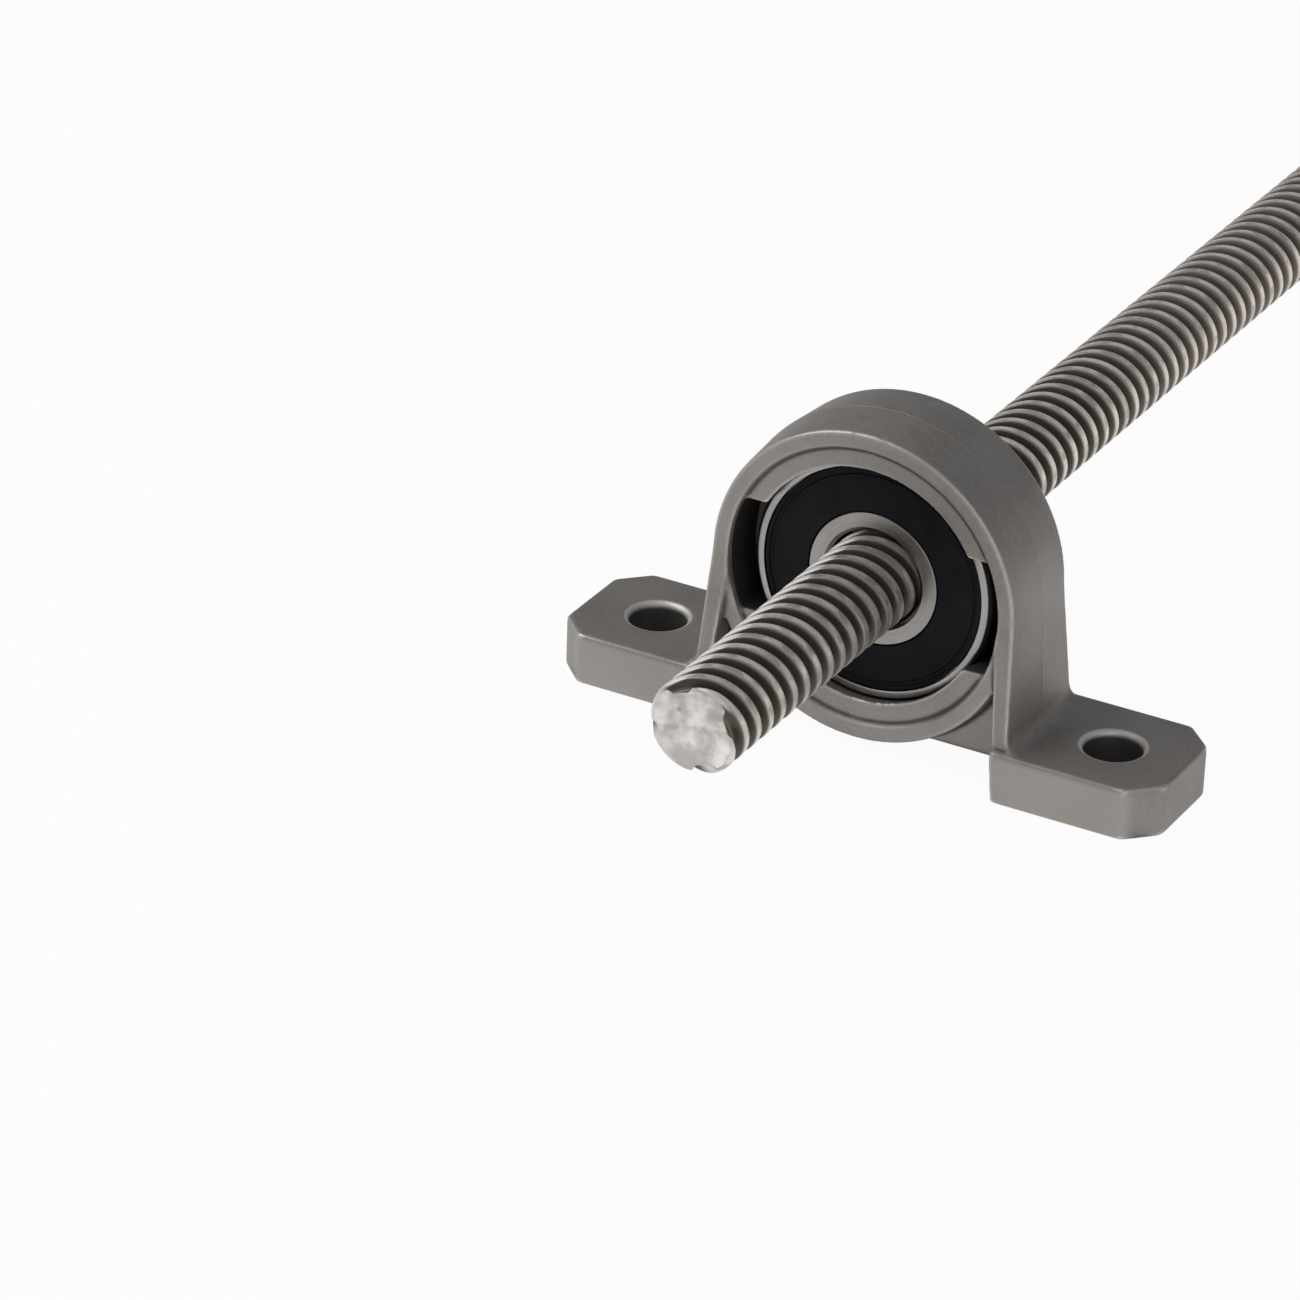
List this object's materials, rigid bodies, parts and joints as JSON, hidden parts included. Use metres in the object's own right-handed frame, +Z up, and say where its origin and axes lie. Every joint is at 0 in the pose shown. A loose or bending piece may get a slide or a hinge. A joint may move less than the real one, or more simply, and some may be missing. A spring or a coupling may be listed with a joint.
{
  "type": "trapezoidal lead screw",
  "caption": "Right-hand trapezoidal lead screw carried by a self-aligning ball bearing insert in a foot-mounted die-cast block, for turning rotation into straight travel.",
  "frame": {"origin": "in the plane of the feet, straight below the centre of the bearing", "axes": "+X across the feet, +Y along the screw from its short end to its long end, +Z up from the bed"},
  "size_m": [0.055, 0.15, 0.029],
  "materials": {
    "cast_zinc": "matte blasted zinc casting",
    "stainless": "rolled stainless thread",
    "ring_steel": "ground bearing steel",
    "ball_steel": "polished",
    "cage_steel": "pressed sheet",
    "seal_rubber": "matte black rubber",
    "black_steel": "black oxide"
  },
  "bodies": {
    "block": {"housing": "cast_zinc"},
    "insert": {"outer_ring": "ring_steel", "seal_front": "seal_rubber", "seal_back": "seal_rubber"},
    "screw": {"lead_screw": "stainless", "inner_ring": "ring_steel", "grub_screw_1": "black_steel", "grub_screw_2": "black_steel"},
    "cage": {"cage_front": "cage_steel", "cage_back": "cage_steel", "cage_rivet_1": "cage_steel", "cage_rivet_2": "cage_steel", "cage_rivet_3": "cage_steel", "cage_rivet_4": "cage_steel", "cage_rivet_5": "cage_steel", "cage_rivet_6": "cage_steel", "cage_rivet_7": "cage_steel"},
    "ball_body_1": {"ball_1": "ball_steel"},
    "ball_body_2": {"ball_2": "ball_steel"},
    "ball_body_3": {"ball_3": "ball_steel"},
    "ball_body_4": {"ball_4": "ball_steel"},
    "ball_body_5": {"ball_5": "ball_steel"},
    "ball_body_6": {"ball_6": "ball_steel"},
    "ball_body_7": {"ball_7": "ball_steel"}
  },
  "joints": [
    {"name": "insert_align", "type": "hinge", "parent": "block", "child": "insert", "pos_m": [0, 0, 0.015], "axis": [1, 0, 0], "range_deg": [-5, 5]},
    {"name": "screw_spin", "type": "hinge", "parent": "insert", "child": "screw", "pos_m": [0, 0, 0.015], "axis": [0, 1, 0], "continuous": true},
    {"name": "cage_orbit", "type": "hinge", "parent": "insert", "child": "cage", "pos_m": [0, 0, 0.015], "axis": [0, 1, 0], "continuous": true},
    {"name": "ball_spin_1", "type": "hinge", "parent": "cage", "child": "ball_body_1", "pos_m": [0, 0, 0.02212], "axis": [0, 1, 0], "continuous": true},
    {"name": "ball_spin_2", "type": "hinge", "parent": "cage", "child": "ball_body_2", "pos_m": [0.00557, 0, 0.01944], "axis": [0, 1, 0], "continuous": true},
    {"name": "ball_spin_3", "type": "hinge", "parent": "cage", "child": "ball_body_3", "pos_m": [0.00694, 0, 0.01342], "axis": [0, 1, 0], "continuous": true},
    {"name": "ball_spin_4", "type": "hinge", "parent": "cage", "child": "ball_body_4", "pos_m": [0.00309, 0, 0.00859], "axis": [0, 1, 0], "continuous": true},
    {"name": "ball_spin_5", "type": "hinge", "parent": "cage", "child": "ball_body_5", "pos_m": [-0.00309, 0, 0.00859], "axis": [0, 1, 0], "continuous": true},
    {"name": "ball_spin_6", "type": "hinge", "parent": "cage", "child": "ball_body_6", "pos_m": [-0.00694, 0, 0.01342], "axis": [0, 1, 0], "continuous": true},
    {"name": "ball_spin_7", "type": "hinge", "parent": "cage", "child": "ball_body_7", "pos_m": [-0.00557, 0, 0.01944], "axis": [0, 1, 0], "continuous": true}
  ],
  "couplings": [
    {"joint": "cage_orbit", "follows": "screw_spin", "ratio": 0.37711},
    {"joint": "ball_spin_1", "follows": "screw_spin", "ratio": -1.9114},
    {"joint": "ball_spin_2", "follows": "screw_spin", "ratio": -1.9114},
    {"joint": "ball_spin_3", "follows": "screw_spin", "ratio": -1.9114},
    {"joint": "ball_spin_4", "follows": "screw_spin", "ratio": -1.9114},
    {"joint": "ball_spin_5", "follows": "screw_spin", "ratio": -1.9114},
    {"joint": "ball_spin_6", "follows": "screw_spin", "ratio": -1.9114},
    {"joint": "ball_spin_7", "follows": "screw_spin", "ratio": -1.9114}
  ]
}
